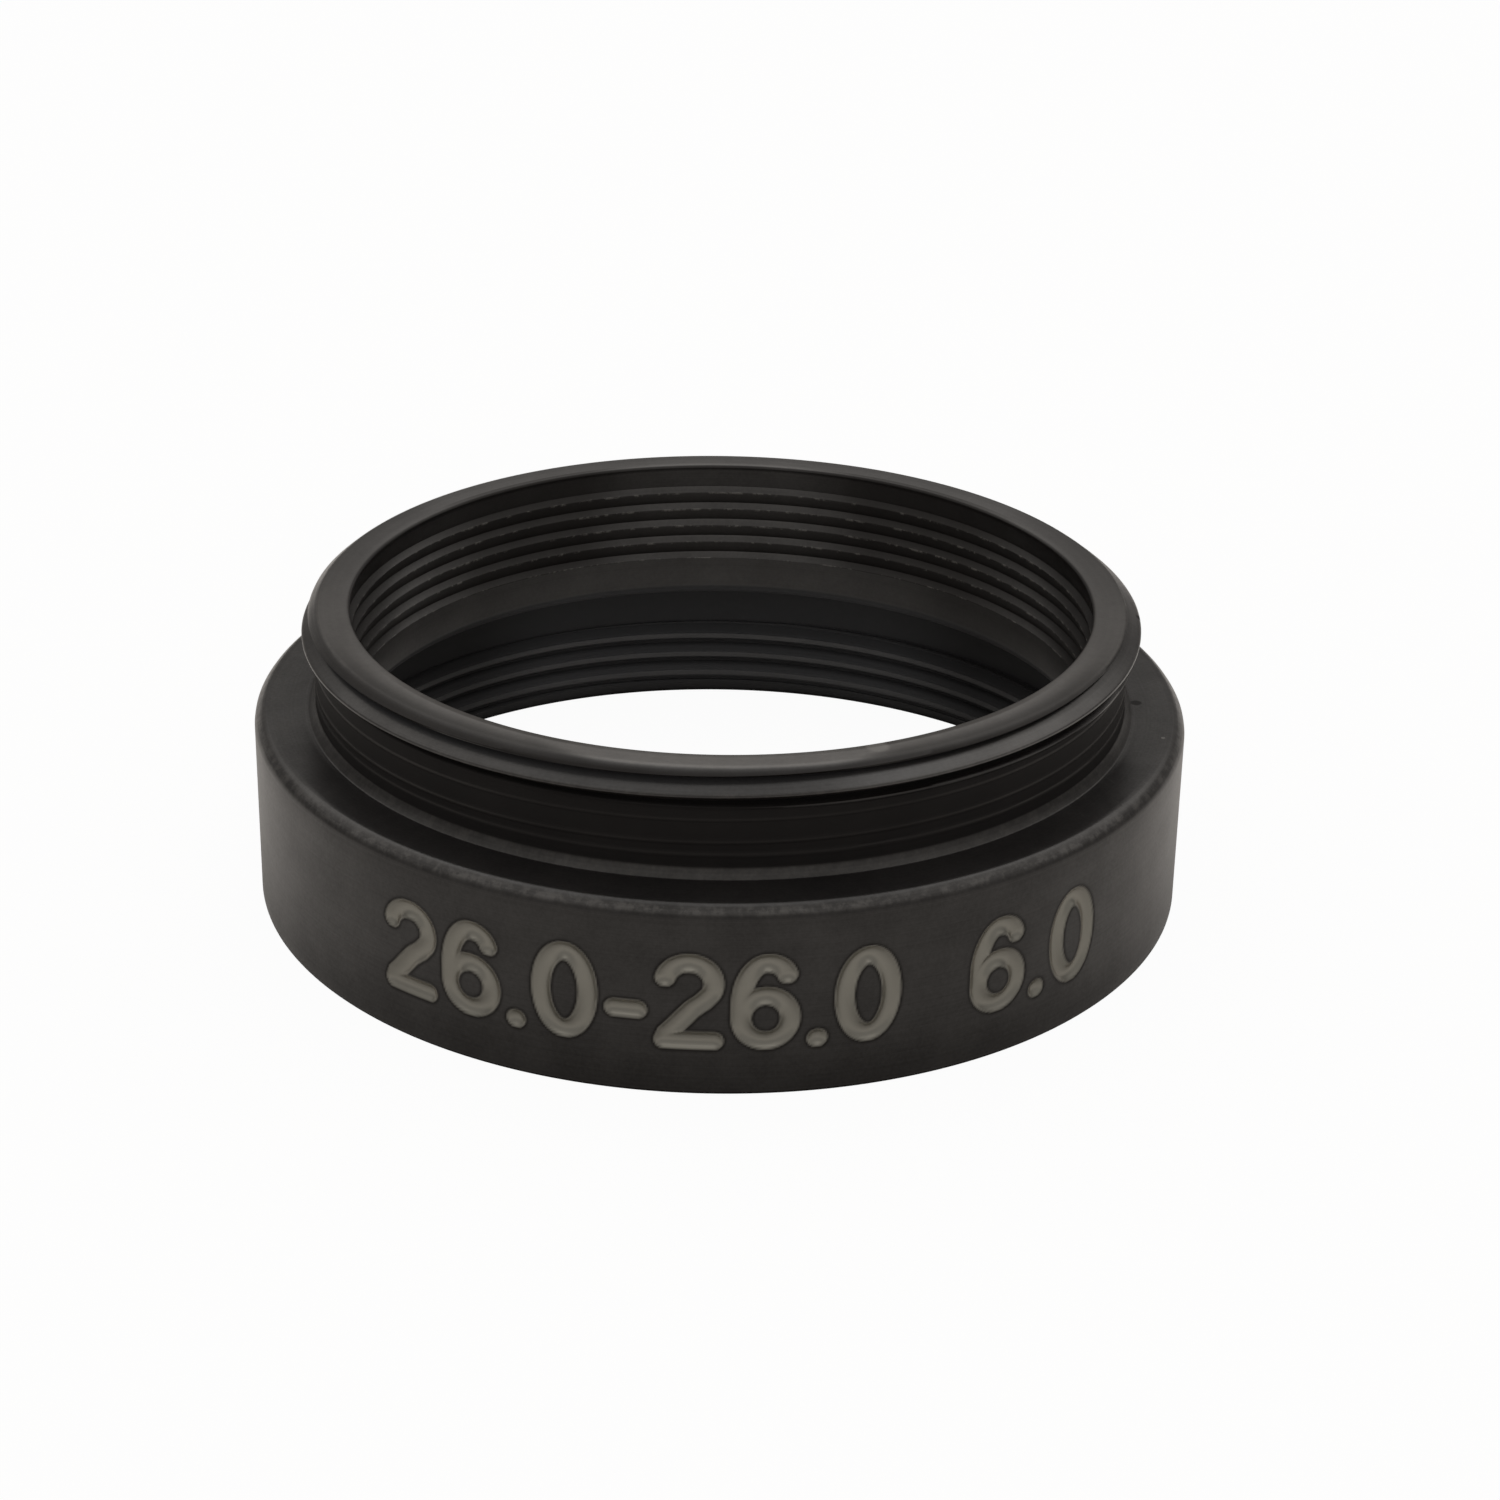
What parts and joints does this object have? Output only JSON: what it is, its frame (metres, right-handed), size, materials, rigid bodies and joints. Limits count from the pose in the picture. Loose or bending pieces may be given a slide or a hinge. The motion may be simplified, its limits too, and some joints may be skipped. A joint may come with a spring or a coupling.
{
  "type": "threaded spacer ring",
  "caption": "Short black threaded spacer ring with a male thread on a neck above a plain collar, a female thread in its socket, and light baffles cut in the bore.",
  "frame": {"origin": "on the ring's axis, in the bottom face of the collar", "axes": "+Z along the axis, from the socket with the female thread towards the rim with the male thread; X and Y are any two directions square to it"},
  "size_m": [0.0292, 0.0292, 0.0093],
  "materials": {
    "black_anodised": "fine turned surface, black anodised, satin"
  },
  "bodies": {
    "root": {"spacer_ring": "black_anodised"}
  },
  "joints": []
}
